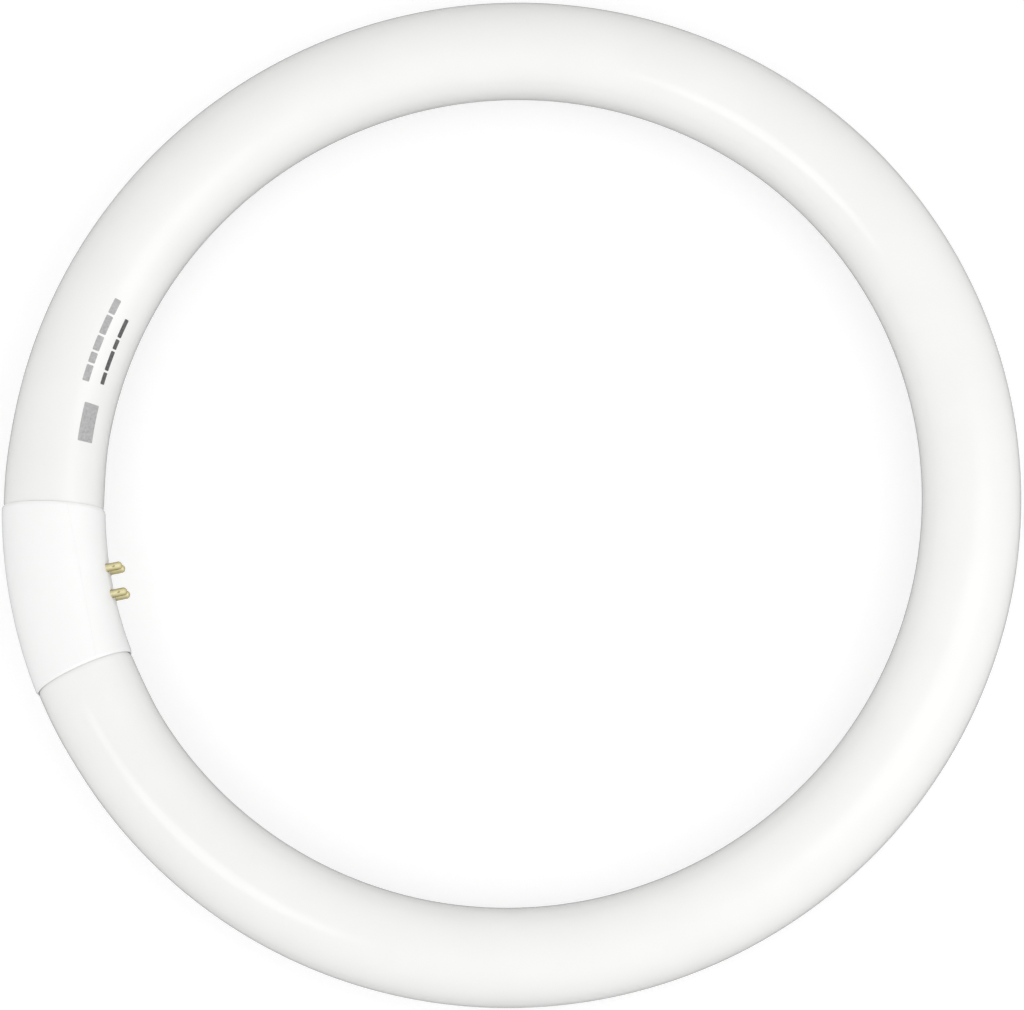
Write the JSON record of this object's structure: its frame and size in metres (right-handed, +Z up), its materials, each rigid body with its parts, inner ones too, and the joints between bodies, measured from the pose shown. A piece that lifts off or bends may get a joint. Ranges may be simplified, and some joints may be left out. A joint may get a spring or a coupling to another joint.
{
  "type": "circular fluorescent tube",
  "caption": "Ring-shaped fluorescent lamp: a bent white-coated glass tube whose ends meet in a white moulded cap with brass contact pins pointing to the middle of the ring.",
  "frame": {"origin": "middle of the ring, in the plane of the tube's middle line", "axes": "+Z along the ring's axis, +X the way the contact pins point, so the cap is centred on -X; the lamp lies flat with +Z up"},
  "size_m": [0.3008, 0.3, 0.0306],
  "materials": {
    "coated_glass": "glossy clear glass over an opaque white powder coating",
    "cap_plastic": "satin white moulded plastic",
    "pin_brass": "plain drawn brass, lightly worn",
    "lead_metal": "bare drawn wire"
  },
  "bodies": {
    "root": {"glass_tube": "coated_glass", "cap_outer_shell": "cap_plastic", "cap_inner_shell": "cap_plastic", "contact_pin_1": "pin_brass", "contact_pin_2": "pin_brass", "contact_pin_3": "pin_brass", "contact_pin_4": "pin_brass", "lead_wire_1": "lead_metal", "lead_wire_2": "lead_metal", "lead_wire_3": "lead_metal", "lead_wire_4": "lead_metal"}
  },
  "joints": []
}
